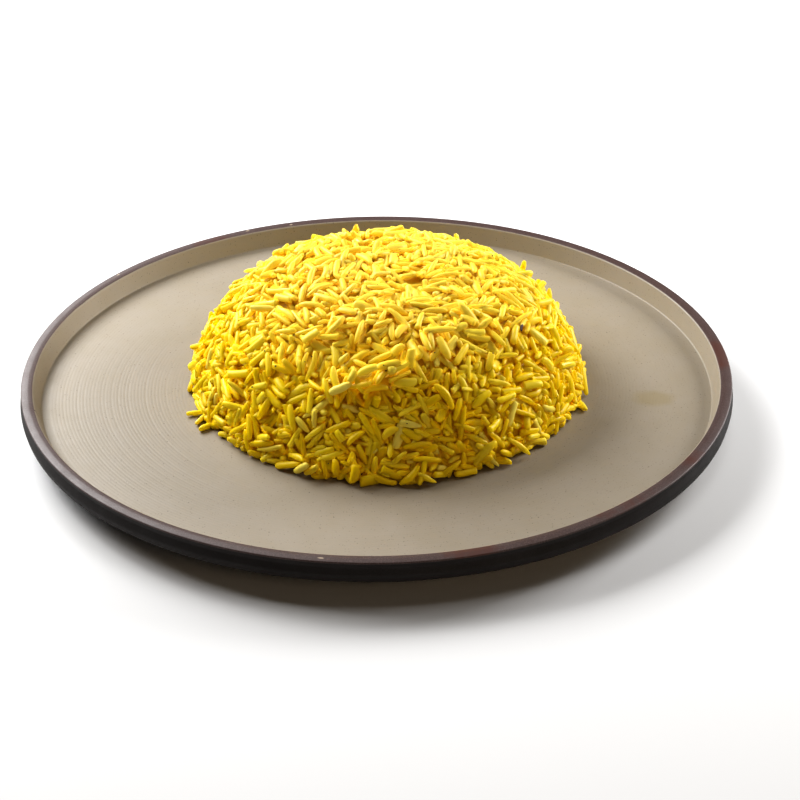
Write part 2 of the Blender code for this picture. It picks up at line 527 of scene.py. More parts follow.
@dataclass(frozen=True)
class StudioPaper:
    """Plain white paper on the studio table: matt, with no pattern of its own."""

    white: str = "#E6E6E6"
    roughness: float = 0.9
    specular: float = 0.2

    def build(self) -> bpy.types.Material:
        """Build the paper."""
        return Finish("white studio paper").closed({
            "Base Color": linear(self.white), "Roughness": self.roughness,
            "Specular IOR Level": self.specular,
        })


@dataclass
class Plate:
    """The plate, turned as one shell with throwing rings on its floor.

    Attributes are its real sizes. Radii are from its axis, and heights from its foot.
    """

    height: float = 17.0 * MM
    rim_outer_radius: float = 135.0 * MM
    rim_inner_radius: float = 130.5 * MM
    rim_crown: float = 0.22 * MM
    groove_radius: float = 134.3 * MM
    groove_height: float = 14.4 * MM
    belly_radius: float = 135.5 * MM
    belly_height: float = 11.9 * MM
    floor_radius: float = 127.8 * MM
    floor_height: float = 9.5 * MM
    wall_foot_radius: float = 134.9 * MM
    wall_foot_height: float = 9.3 * MM
    underside_radius: float = 125.0 * MM
    underside_height: float = 4.0 * MM
    foot_outer_radius: float = 93.0 * MM
    foot_inner_radius: float = 88.0 * MM
    foot_taper: float = 0.8 * MM
    recess_height: float = 4.4 * MM
    ring_pitch: float = 1.29 * MM
    ring_depth: float = 0.055 * MM
    ring_first_radius: float = 8.0 * MM
    ring_points: int = 3
    steps: int = 288
    wobble: float = 0.12 * MM
    wobble_waves: float = 1.7
    true_margin: float = 5.0 * MM
    nick_depth: float = 0.35 * MM
    nick_height: float = 2.0 * MM
    worn_places: tuple[tuple[float, float, float], ...] = (
        (2.0, 7.0, 0.75), (-33.0, 4.0, 0.60), (-52.0, 12.0, 0.48),
        (-77.0, 6.0, 0.65), (122.0, 6.0, 0.60), (60.0, 8.0, 0.35),
    )

    def corners(self) -> list[tuple[float, float, float, int]]:
        """List the section's corners as (radius, height, fillet, segments), over and under.

        Returns:
            The corners, from the edge of the floor out, down and back to the axis.
        """
        lip = self.height - self.rim_crown
        return [
            (self.floor_radius, self.floor_height, 0.7 * MM, 4),
            (self.rim_inner_radius - 0.25 * MM, lip, 1.0 * MM, 6),
            (self.rim_inner_radius + 1.7 * MM, self.height, 3.0 * MM, 3),
            (self.rim_outer_radius, lip, 0.45 * MM, 4),
            (self.groove_radius, self.groove_height, 0.8 * MM, 2),
            (self.belly_radius, self.belly_height, 2.0 * MM, 4),
            (self.wall_foot_radius, self.wall_foot_height, 1.1 * MM, 5),
            (self.underside_radius, self.underside_height, 4.0 * MM, 3),
            (self.foot_outer_radius + self.foot_taper, self.underside_height, 1.0 * MM, 3),
            (self.foot_outer_radius, 0.0, 0.8 * MM, 3),
            (self.foot_inner_radius, 0.0, 0.8 * MM, 3),
            (self.foot_inner_radius - self.foot_taper, self.recess_height, 1.0 * MM, 3),
            (0.0, self.recess_height, 0.0, 0),
        ]

    def floor_line(self) -> list[Vector]:
        """Points of the floor from the axis out, dipping in each throwing ring.

        Returns:
            The points.
        """
        points = [Vector((0.0, self.floor_height))]
        step = self.ring_pitch / self.ring_points
        end = self.floor_radius - 2.4 * MM
        count = int((end - self.ring_first_radius) / step)
        for index in range(count):
            radius = self.ring_first_radius + index * step
            phase = TURN * index / self.ring_points
            uneven = 0.75 + 0.5 * noise.noise(Vector((index // self.ring_points * 0.9, 0.5, 0.0)))
            dip = self.ring_depth * uneven * (0.5 - 0.5 * math.cos(phase))
            points.append(Vector((radius, self.floor_height - dip)))
        return points

    def outline(self) -> list[Vector]:
        """Run the section out over the floor, up the wall, down outside and back underneath.

        Returns:
            The points of the whole section.
        """
        points = self.floor_line()
        corners = [(points[-1].x, points[-1].y, 0.0, 0), *self.corners()]
        for before, here, after in zip(corners, corners[1:], corners[2:]):
            points.extend(self._fillet(before, here, after))
        points.append(Vector(corners[-1][:2]))
        return points

    @staticmethod
    def _fillet(before: tuple, here: tuple, after: tuple) -> list[Vector]:
        """Round one corner of the section by an arc.

        Args:
            before: The corner before it.
            here: The corner, with its fillet radius and number of segments.
            after: The corner after it.

        Returns:
            The arc's points.
        """
        corner = Vector(here[:2])
        fillet, segments = here[2:]
        back = (Vector(before[:2]) - corner).normalized()
        ahead = (Vector(after[:2]) - corner).normalized()
        half_angle = back.angle(ahead) / 2
        centre = corner + (back + ahead).normalized() * (fillet / math.sin(half_angle))
        reach = fillet / math.tan(half_angle)
        start = corner + back * reach - centre
        end = corner + ahead * reach - centre
        turn = start.angle(end)
        arc = []
        for step in range(segments + 1):
            share = step / segments
            arm = start * math.sin((1 - share) * turn) + end * math.sin(share * turn)
            arc.append(centre + arm / math.sin(turn))
        return arc

    def build(self) -> bpy.types.Object:
        """Turn the section, make it slightly out of true, and glaze it.

        Returns:
            The plate, riding on the root body in place of its CAD node.
        """
        section = self.outline()
        mesh = bpy.data.meshes.new("plate section")
        edges = [(index, index + 1) for index in range(len(section) - 1)]
        mesh.from_pydata([(point.x, 0.0, point.y) for point in section], edges, [])
        blank = add_object("plate section", mesh)
        lathe = blank.modifiers.new("turn", "SCREW")
        lathe.axis = "Z"
        lathe.steps = self.steps
        lathe.render_steps = self.steps
        lathe.use_merge_vertices = True
        lathe.merge_threshold = 0.001 * MM
        turned = plain_mesh(blank, "stoneware_plate")
        self._untrue(turned)
        self._wear(turned)
        glaze = StonewareGlaze(
            rim_radius=self.rim_inner_radius,
            rim_height=self.height,
            underside_top=self.floor_height - 0.6 * MM,
        )
        piece = make_piece("stoneware_plate", turned, glaze.build())
        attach(piece, "root")
        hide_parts("plate")
        return piece

    def _wear(self, mesh: bpy.types.Mesh) -> None:
        """Store how much each part of the rim has been rubbed, and press in the nick.

        Args:
            mesh: The plate.
        """
        wear = mesh.attributes.new("wear", "FLOAT", "POINT")
        for vertex, value in zip(mesh.vertices, wear.data):
            azimuth = math.degrees(math.atan2(vertex.co.y, vertex.co.x))
            value.value = max(
                depth * math.exp(-(((azimuth - middle + 180) % 360 - 180) / spread) ** 2)
                for middle, spread, depth in self.worn_places
            )
            near = (vertex.co.xy - Vector((NICK.x, NICK.y))).length / (3 * NICK.length)
            if vertex.co.z > self.height - self.nick_height and near < 1:
                vertex.co.z -= self.nick_depth * (1 - near)

    def _untrue(self, mesh: bpy.types.Mesh) -> None:
        """Let the rim wander by a hair, as a thrown rim does, and keep the foot flat.

        Args:
            mesh: The plate.
        """
        for vertex in mesh.vertices:
            place = vertex.co
            radius = math.hypot(place.x, place.y)
            if radius < self.foot_outer_radius + self.true_margin:
                continue
            share = (radius - self.foot_outer_radius) / (self.belly_radius - self.foot_outer_radius)
            ring = Vector((place.x, place.y, 0.0)) / radius * self.wobble_waves
            drift = self.wobble * share
            place.z += drift * noise.noise(ring + Vector((0.0, 0.0, 4.0)))
            stretch = 1 - drift * (0.5 + 0.5 * noise.noise(ring)) / radius
            place.x *= stretch
            place.y *= stretch


@dataclass(frozen=True)
class Mould:
    """The bowl that shaped the heap: (r / radius)^r_power + (z / height)^z_power = 1."""

    radius: float = 76.0 * MM
    height: float = 47.2 * MM
    r_power: float = 3.45
    z_power: float = 1.55

    def along(self, direction: Vector) -> float:
        """How far the mould's surface is from the middle of its base in a direction.

        Args:
            direction: Of length one, and not downwards.

        Returns:
            The distance.
        """
        side = (math.hypot(direction.x, direction.y) / self.radius) ** self.r_power
        top = (direction.z / self.height) ** self.z_power
        grow = self.height
        for _ in range(12):
            value = side * grow ** self.r_power + top * grow ** self.z_power - 1
            slope = (
                self.r_power * side * grow ** (self.r_power - 1)
                + self.z_power * top * grow ** (self.z_power - 1)
            )
            grow -= value / slope
        return grow

    def depth(self, points: np.ndarray) -> tuple[np.ndarray, np.ndarray]:
        """Measure how deep points lie inside the mould.

        Args:
            points: Rows of x, y, z from the middle of the heap's base.

        Returns:
            Each point's depth and the mould's outward direction beside it.
        """
        reach = np.maximum(np.hypot(points[:, 0], points[:, 1]), TINY)
        level = np.maximum(points[:, 2], TINY)
        across = (reach / self.radius) ** self.r_power
        up = (level / self.height) ** self.z_power
        grow = 1 / np.maximum(reach / self.radius, level / self.height)
        for _ in range(6):
            side, top = across * grow ** self.r_power, up * grow ** self.z_power
            slope = (self.r_power * side + self.z_power * top) / grow
            grow = np.maximum(grow - (side + top - 1) / slope, 0.2)
        tilt = self.r_power * across * grow ** (self.r_power - 1) / reach
        rise = self.z_power * up * grow ** (self.z_power - 1) / level
        outward = np.stack([tilt * points[:, 0] / reach, tilt * points[:, 1] / reach, rise], 1)
        outward /= np.linalg.norm(outward, axis=1, keepdims=True)
        return (grow - 1) * np.einsum("ij,ij->i", points, outward), outward

    def scatter(self, count: int, draw: np.random.Generator) -> np.ndarray:
        """Spread points evenly over the mould's surface.

        Args:
            count: How many.
            draw: The source of random numbers.

        Returns:
            Rows of x, y, z.
        """
        angle = np.linspace(0, math.pi / 2, 401)
        radius = self.radius * np.cos(angle) ** (2 / self.r_power)
        level = self.height * np.sin(angle) ** (2 / self.z_power)
        area = np.hypot(np.diff(radius), np.diff(level)) * (radius[1:] + radius[:-1])
        band = draw.choice(len(area), size=count, p=area / area.sum())
        share = draw.random(count)
        r = radius[band] + (radius[band + 1] - radius[band]) * share
        z = level[band] + (level[band + 1] - level[band]) * share
        turn = draw.uniform(0, TURN, count)
        return np.stack([r * np.cos(turn), r * np.sin(turn), z], 1)


@dataclass(frozen=True)
class Fold:
    """A hollow or a ridge of the heap, along a straight line from one point to another.

    Attributes:
        start: One end, from the middle of the heap's base.
        end: The other end.
        width: How far to its side it has mostly faded.
        rise: How far it stands out, negative for a hollow.
    """

    start: tuple[float, float, float]
    end: tuple[float, float, float]
    width: float
    rise: float

    def height(self, points: np.ndarray) -> np.ndarray:
        """How far it moves the surface beside each point.

        Args:
            points: Rows of x, y, z.

        Returns:
            The moves outwards.
        """
        start, line = np.array(self.start), np.subtract(self.end, self.start)
        along = np.clip((points - start) @ line / max(line @ line, 1e-12), 0, 1)
        aside = points - start - along[:, None] * line
        return self.rise * np.exp(-np.einsum("ij,ij->i", aside, aside) / self.width ** 2)


def fold(start: tuple, end: tuple, width: float, rise: float) -> Fold:
    """Make a fold from sizes in millimetres."""
    return Fold(tuple(v * MM for v in start), tuple(v * MM for v in end), width * MM, rise * MM)


FOLDS = (
    fold((-21, -50, 38.5), (3, -50, 39.8), 5.5, -2.7),
    fold((3, -50, 39.8), (15, -38, 43.5), 4.5, -1.8),
    fold((-27, -58, 29), (-8, -59, 33), 3.6, 2.3),
    fold((-8, -59, 33), (5, -56, 35.4), 3.6, 2.5),
    fold((9, -50, 38.5), (25, -37, 42), 3.6, 1.7),
    fold((-33, -54, 30), (-44, -57, 14), 3.4, -2.8),
    fold((-56, -22, 33), (-52, -26, 34), 4.0, -2.2),
    fold((20, -28, 45), (23, -26, 45), 3.5, -2.0),
    fold((25, -42, 40), (28, -41, 40), 3.5, -2.2),
    fold((35, -13, 44), (38, -12, 43), 4.5, -2.0),
    fold((44, -42, 31), (50, -36, 30), 5.0, -2.3),
    fold((-2, -65, 27), (3, -64.5, 27), 3.5, -1.8),
    fold((-58, -49, 2), (-32, -69, 2), 5.0, 1.6),
    fold((-32, -69, 2), (12, -75, 2), 5.0, 3.0),
    fold((12, -75, 2), (46, -60, 2), 5.0, 2.2),
)


@dataclass
class Grains:
    """Where grains lie: centres, directions along and up, and sizes, one row for each grain."""

    centre: np.ndarray
    along: np.ndarray
    up: np.ndarray
    length: np.ndarray

    def pick(self, keep: np.ndarray) -> "Grains":
        """Keep some of the grains."""
        return Grains(*(rows[keep] for rows in vars(self).values()))

    def joined(self, other: "Grains") -> "Grains":
        """Put other grains after these."""
        pairs = zip(vars(self).values(), vars(other).values())
        return Grains(*(np.concatenate(pair) for pair in pairs))


def unit(rows: np.ndarray) -> np.ndarray:
    """Scale each row to length one."""
    return rows / np.linalg.norm(rows, axis=1, keepdims=True)


def near_pairs(points: np.ndarray, owner: np.ndarray, reach: float) -> tuple[np.ndarray, np.ndarray]:
    """Find pairs of points of different owners that are closer than a reach.

    Args:
        points: Rows of x, y, z.
        owner: The grain that each point belongs to.
        reach: The greatest distance.

    Returns:
        The two points' numbers in each pair.
    """
    cell = np.floor(points / reach).astype(np.int64)
    cell -= cell.min(0) - 1
    spans = cell.max(0) + 2
    key = (cell[:, 0] * spans[1] + cell[:, 1]) * spans[2] + cell[:, 2]
    order = np.argsort(key, kind="stable")
    sorted_key = key[order]
    firsts, seconds = [], []
    steps = [(x, y, z) for x in (-1, 0, 1) for y in (-1, 0, 1) for z in (-1, 0, 1)]
    for x, y, z in steps:
        shift = (x * spans[1] + y) * spans[2] + z
        if shift < 0:
            continue
        low = np.searchsorted(sorted_key, sorted_key + shift, "left")
        many = np.searchsorted(sorted_key, sorted_key + shift, "right") - low
        first = np.repeat(np.arange(len(points)), many)
        start = np.repeat(low - np.concatenate([[0], np.cumsum(many)[:-1]]), many)
        second = start + np.arange(many.sum())
        ahead = first < second if shift == 0 else slice(None)
        firsts.append(order[first[ahead]])
        seconds.append(order[second[ahead]])
    one, two = np.concatenate(firsts), np.concatenate(seconds)
    apart = points[one] - points[two]
    keep = (owner[one] != owner[two]) & (np.einsum("ij,ij->i", apart, apart) < reach * reach)
    return one[keep], two[keep]


@dataclass
class Pressing:
    """Presses loose grains against a mould until they lie close without running together.

    Each grain is a short row of beads. In each round beads that overlap push each other apart,
    the mould and a shell inside it hold them, and each grain is then made straight again.
    """

    mould: Mould
    count: int = 3260
    shell: float = 6.2 * MM
    thickness: float = 2.2 * MM
    length: float = 9.9 * MM
    spread: float = 0.17
    shortest: float = 0.6
    longest: float = 1.3
    laid_flat: float = 0.45
    beads: int = 5
    rounds: int = 170
    small_at_first: float = 0.6
    growth: float = 0.8
    search_each: int = 5
    search_margin: float = 1.2 * MM
    pressure: float = 0.007 * MM
    seed: int = 11

    def press(self) -> Grains:
        """Pack the grains.

        Returns:
            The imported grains, measured from the middle of the heap's base.
        """
        draw = np.random.default_rng(self.seed)
        bead = self.thickness / 2
        surface = self.mould.scatter(self.count, draw)
        _, outward = self.mould.depth(surface)
        sunk = draw.uniform(bead, self.shell - bead, self.count)
        centre = surface - outward * sunk[:, None]
        centre[:, 2] = np.maximum(centre[:, 2], bead)
        along = draw.normal(size=(self.count, 3))
        along -= outward * self.laid_flat * np.einsum("ij,ij->i", along, outward)[:, None]
        along = unit(along)
        bell = 1 + self.spread * draw.normal(size=self.count)
        length = self.length * np.clip(bell, self.shortest, self.longest)
        offset = np.linspace(-1, 1, self.beads)[None, :] * (length / 2 - bead)[:, None]
        owner = np.repeat(np.arange(self.count), self.beads)
        pairs = None
        for turn in range(self.rounds):
            size = bead * min(1.0, self.small_at_first + self.growth * turn / self.rounds)
            beads = (centre[:, None] + offset[:, :, None] * along[:, None]).reshape(-1, 3)
            if turn % self.search_each == 0:
                pairs = near_pairs(beads, owner, 2 * bead + self.search_margin)
            beads += self._parted(beads, pairs, size)
            deep, outward = self.mould.depth(beads)
            into = np.maximum(size - deep, 0)
            out = np.maximum(deep - (self.shell - size), 0) + self.pressure * (deep > size)
            beads += outward * (out - into)[:, None]
            beads[:, 2] = np.maximum(beads[:, 2], size)
            rows = beads.reshape(self.count, self.beads, 3)
            centre = rows.mean(1)
            along = unit(np.einsum("nk,nkc->nc", offset, rows - centre[:, None]))
        _, up = self.mould.depth(centre)
        return Grains(centre, along, up, length)

    @staticmethod
    def _parted(beads: np.ndarray, pairs: tuple[np.ndarray, np.ndarray], size: float) -> np.ndarray:
        """Work out how far overlapping beads push each other.

        Args:
            beads: Rows of x, y, z.
            pairs: Numbers of beads that may touch.
            size: The beads' radius.

        Returns:
            Each bead's move.
        """
        one, two = pairs
        apart = beads[one] - beads[two]
        distance = np.maximum(np.linalg.norm(apart, axis=1), TINY ** 2)
        hit = distance < 2 * size
        one, two = one[hit], two[hit]
        push = apart[hit] * ((size / distance[hit]) - 0.5)[:, None]
        total = len(beads)
        move = np.stack([
            np.bincount(one, push[:, axis], total) - np.bincount(two, push[:, axis], total)
            for axis in range(3)
        ], 1)
        touches = np.bincount(one, minlength=total) + np.bincount(two, minlength=total)
        return move / np.sqrt(np.maximum(touches, 1))[:, None]


@dataclass(frozen=True)
class GrainShape:
    """One form of cooked grain, of length and width one, along X with its back to +Z.

    Attributes:
        name: What it looks like.
        bow: How far its middle bends sideways, in widths.
        front: Bluntness of the +X end, where 2 is an ellipse and 4 nearly square.
        back: Bluntness of the other end.
        furrow: Depth of the groove along its back.
        flat: How far its cross-section leans from round towards square.
        cut: Where along the half-length the +X end is snapped off.
        slant: How far the snapped face leans.
        sides: Corners of its cross-section.
        rings: Where its rings are, as shares of the half-length.
    """

    name: str
    bow: float
    front: float
    back: float
    furrow: float
    flat: float = 0.3
    cut: float = 1.0
    slant: float = 0.0
    sides: int = 8
    rings: tuple[float, ...] = (-0.965, -0.84, -0.45, 0.0, 0.45, 0.86, 0.97)

    def build(self, seed: int) -> bpy.types.Mesh:
        """Loft the grain through its rings.

        Args:
            seed: Sets its small unevenness.

        Returns:
            The mesh.
        """
        draw = np.random.default_rng(seed)
        shape = bmesh.new()
        loops = []
        for ring in self.rings:
            share = ring * self.cut if ring > 0 else ring
            blunt = self.front if share > 0 else self.back
            size = (1 - abs(share) ** blunt) ** (1 / blunt) * (1 + draw.uniform(-0.06, 0.06))
            drift = draw.uniform(-0.03, 0.03)
            loop = []
            for side in range(self.sides):
                angle = TURN * (side + 0.5) / self.sides
                square = 1 + self.flat * 0.25 * (1 - math.cos(4 * angle))
                groove = 1 - self.furrow * math.exp(-((angle - math.pi / 2) / 0.5) ** 2)
                y = size * square * math.cos(angle) / 2 + self.bow * (1 - share * share) + drift
                z = size * square * groove * math.sin(angle) / 2
                x = share / 2 + self.slant * y * max(share, 0.0) / 2
                loop.append(shape.verts.new((x, y, z)))
            loops.append(loop)
        for lower, upper in zip(loops, loops[1:]):
            for side in range(self.sides):
                after = (side + 1) % self.sides
                shape.faces.new((lower[side], lower[after], upper[after], upper[side]))
        for loop, step in ((loops[0], -0.018), (loops[-1], 0.018)):
            middle = sum((vert.co for vert in loop), Vector()) / self.sides
            tip = shape.verts.new(middle + Vector((step, 0, 0)))
            for side in range(self.sides):
                shape.faces.new((tip, loop[(side + 1) % self.sides], loop[side]))
        bmesh.ops.recalc_face_normals(shape, faces=shape.faces)
        mesh = baked(shape, self.name)
        mesh.shade_smooth()
        return mesh


STRAIGHT_SHAPES = (
    GrainShape("straight long grain", 0.00, 2.7, 3.2, 0.06, flat=0.12),
    GrainShape("blunt grain", 0.06, 4.0, 3.4, 0.12, flat=0.30),
    GrainShape("grain with one fine end", -0.07, 1.9, 3.2, 0.05, flat=0.08),
    GrainShape("furrowed grain", -0.04, 3.0, 2.6, 0.22, flat=0.15),
    GrainShape("slim grain", 0.08, 2.3, 2.6, 0.02, flat=0.05),
    GrainShape("angular grain", 0.10, 3.8, 2.4, 0.10, flat=0.45),
)
BOWED_SHAPES = (
    GrainShape("bowed long grain", 0.20, 2.7, 3.0, 0.08, flat=0.12),
    GrainShape("grain bowed the other way", -0.22, 3.0, 2.4, 0.06, flat=0.25),
    GrainShape("well bowed grain", 0.38, 2.8, 2.8, 0.08, flat=0.10),
    GrainShape("well bowed fine grain", -0.34, 2.2, 2.6, 0.10, flat=0.15),
)
FLECK_SHAPES = (
    GrainShape("chip of spice", 0.10, 2.4, 5.0, 0.0, flat=0.8, cut=0.80, slant=0.3),
    GrainShape("curled shred of spice", 0.45, 2.0, 3.0, 0.2, flat=0.4),
)
BROKEN_SHAPES = (
    GrainShape("grain snapped across", 0.04, 9.0, 3.2, 0.10, cut=0.80),
    GrainShape("grain snapped on a slant", -0.06, 9.0, 3.4, 0.14, cut=0.66, slant=0.16),
    GrainShape("burst grain", 0.08, 8.0, 6.0, 0.30, flat=0.9, cut=0.92, slant=-0.12),
    GrainShape("short end", 0.00, 7.0, 6.0, 0.05, cut=0.55, slant=0.08),
)
PALE_SHAPES = STRAIGHT_SHAPES[:3] + BOWED_SHAPES[:1] + BROKEN_SHAPES[:2]


@dataclass(frozen=True)
class KindOfGrain:
    """How one kind of grain shares in the heap.

    Attributes:
        share: Its part of all grains.
        shapes: The forms that it takes.
        finish: Its look.
    """

    share: float
    shapes: tuple[GrainShape, ...]
    finish: CookedRice


class GrainKind(Enum):
    """The kinds of grain in the heap, each one piece of the model."""

    STRAIGHT = "straight_grains"
    BOWED = "bowed_grains"
    BROKEN = "broken_grains"
    PALE = "pale_grains"


@dataclass(frozen=True)
class LaidGrain:
    """A grain that stands out on the heap, and lies on top of the others.

    Attributes:
        start: One end, in millimetres from the middle of the heap's base.
        end: The other end.
        width: Its width in millimetres.
        kind: The kind of grain.
    """

    start: tuple[float, float, float]
    end: tuple[float, float, float]
    width: float
    kind: GrainKind


PALE, STRAIGHT = GrainKind.PALE, GrainKind.STRAIGHT
BROKEN, BOWED = GrainKind.BROKEN, GrainKind.BOWED
LAID_GRAINS = (
    LaidGrain((-21, -61, 27.5), (-13, -60, 31), 3.0, PALE),
    LaidGrain((-14, -60, 31), (-11, -57, 35), 2.4, PALE),
    LaidGrain((-11, -59, 32.5), (-3.5, -57.5, 35), 2.8, STRAIGHT),
    LaidGrain((-5, -57.5, 34.5), (4, -55.5, 36), 3.0, STRAIGHT),
    LaidGrain((-0.5, -58, 34), (2.5, -57.5, 34.5), 3.2, PALE),
    LaidGrain((7.5, -56, 34.5), (8, -54, 41.5), 2.8, BROKEN),
    LaidGrain((-1.5, -53, 37.5), (5.5, -50, 43.5), 3.9, STRAIGHT),
    LaidGrain((12, -43, 42), (24, -40, 41.5), 2.9, STRAIGHT),
    LaidGrain((-20.5, -45, 40), (-19.5, -53.5, 35), 3.1, BOWED),
    LaidGrain((-16, -53.5, 36), (-7.5, -49, 40), 2.6, STRAIGHT),
    LaidGrain((-10, -62, 29), (-0.5, -62, 30.5), 2.6, BOWED),
    LaidGrain((15.5, -60, 30.5), (22, -64, 22.5), 3.0, BOWED),
    LaidGrain((17.5, -44.5, 41), (21.5, -51.5, 36), 3.6, STRAIGHT),
    LaidGrain((-13.5, -76, 1), (-12, -75, 8), 3.2, BOWED),
    LaidGrain((-31, -42, 38.5), (-24.5, -39.5, 41.5), 2.8, BROKEN),
)


class GrainLayer:
    """Lays grain shapes on points with Geometry Nodes and returns them as one plain mesh."""

    ROWS = {"along": "FLOAT_VECTOR", "up": "FLOAT_VECTOR", "size": "FLOAT_VECTOR", "form": "INT"}
    SOCKETS = {
        "Points": "Geometry", "Shapes": "Collection", "Dye spread": "Float",
        "Dye seed": "Int", "Finish": "Material",
    }

    def __init__(self, shapes: tuple[GrainShape, ...], seed: int) -> None:
        """Make the shapes in a collection that is never shown.

        Args:
            shapes: The forms to choose from.
            seed: Sets their unevenness.
        """
        self.shelf = bpy.data.collections.new("grain shapes")
        bpy.context.scene.collection.children.link(self.shelf)
        for index, shape in enumerate(shapes):
            grain = bpy.data.objects.new("shape_%02d" % index, shape.build(seed + index))
            self.shelf.objects.link(grain)
        self.count = len(shapes)

    def tree(self) -> bpy.types.NodeTree:
        """Build the tree: a grain on each point, turned and sized by the point's attributes.

        Returns:
            The tree, with inputs Shapes, Dye spread, Dye seed and Finish.
        """
        tree = bpy.data.node_groups.new("lay grains", "GeometryNodeTree")
        for name, kind in self.SOCKETS.items():
            tree.interface.new_socket(name, in_out="INPUT", socket_type="NodeSocket" + kind)
        tree.interface.new_socket("Grains", in_out="OUTPUT", socket_type="NodeSocketGeometry")
        given = add_node(tree, "NodeGroupInput").outputs
        along, up, size, form = (
            add_node(
                tree, "GeometryNodeInputNamedAttribute", {"Name": name}, data_type=kind
            ).outputs["Attribute"]
            for name, kind in self.ROWS.items()
        )
        turned = add_node(tree, "FunctionNodeAxesToRotation", {
            "Primary Axis": along, "Secondary Axis": up,
        }, primary_axis="X", secondary_axis="Z").outputs["Rotation"]
        shelf = add_node(tree, "GeometryNodeCollectionInfo", {
            "Collection": given["Shapes"], "Separate Children": True, "Reset Children": True,
        }).outputs["Instances"]
        laid = add_node(tree, "GeometryNodeInstanceOnPoints", {
            "Points": given["Points"], "Instance": shelf, "Pick Instance": True,
            "Instance Index": form, "Rotation": turned, "Scale": size,
        }).outputs["Instances"]
        dye = add_node(tree, "FunctionNodeRandomValue", {
            2: 0.0, 3: given["Dye spread"], "Seed": given["Dye seed"],
        }, data_type="FLOAT").outputs[1]
        dyed = add_node(tree, "GeometryNodeStoreNamedAttribute", {
            "Geometry": laid, "Name": "tint", "Value": dye,
        }, data_type="FLOAT", domain="INSTANCE").outputs["Geometry"]
        real = add_node(tree, "GeometryNodeRealizeInstances", {"Geometry": dyed}).outputs["Geometry"]
        finished = add_node(tree, "GeometryNodeSetMaterial", {
            "Geometry": real, "Material": given["Finish"],
        }).outputs["Geometry"]
        add_node(tree, "NodeGroupOutput", {0: finished})
        return tree

    def lay(
        self,
        name: str,
        grains: Grains,
        size: np.ndarray,
        form: np.ndarray,
        settings: dict[str, Any],
    ) -> bpy.types.Object:
        """Lay one piece's grains.

        Args:
            name: The piece's name.
            grains: Where they lie.
            size: Length, width and thickness of each.
            form: Which shape each takes.
            settings: Values for the tree's named inputs.

        Returns:
            The piece, with no modifier left on it.
        """
        mesh = bpy.data.meshes.new(name + "_points")
        mesh.from_pydata(grains.centre.tolist(), [], [])
        for (key, kind), rows in zip(self.ROWS.items(), (grains.along, grains.up, size, form)):
            store = mesh.attributes.new(key, kind, "POINT").data
            if kind == "INT":
                store.foreach_set("value", rows.astype(np.int32))
            else:
                store.foreach_set("vector", rows.astype(np.float32).ravel())
        points = add_object(name + "_points", mesh)
        layer = points.modifiers.new("lay", "NODES")
        layer.node_group = self.tree()
        values = {"Shapes": self.shelf, **settings}
        for socket in layer.node_group.interface.items_tree:
            if socket.in_out == "INPUT" and socket.name in values:
                layer[socket.identifier] = values[socket.name]
        laid = plain_mesh(points, name)
        for key in self.ROWS:
            if key in laid.attributes:
                laid.attributes.remove(laid.attributes[key])
        return make_piece(name, laid, settings["Finish"])

    def clear(self) -> None:
        """Remove the shapes."""
        for grain in list(self.shelf.objects):
            discard(grain)
        bpy.data.collections.remove(self.shelf)


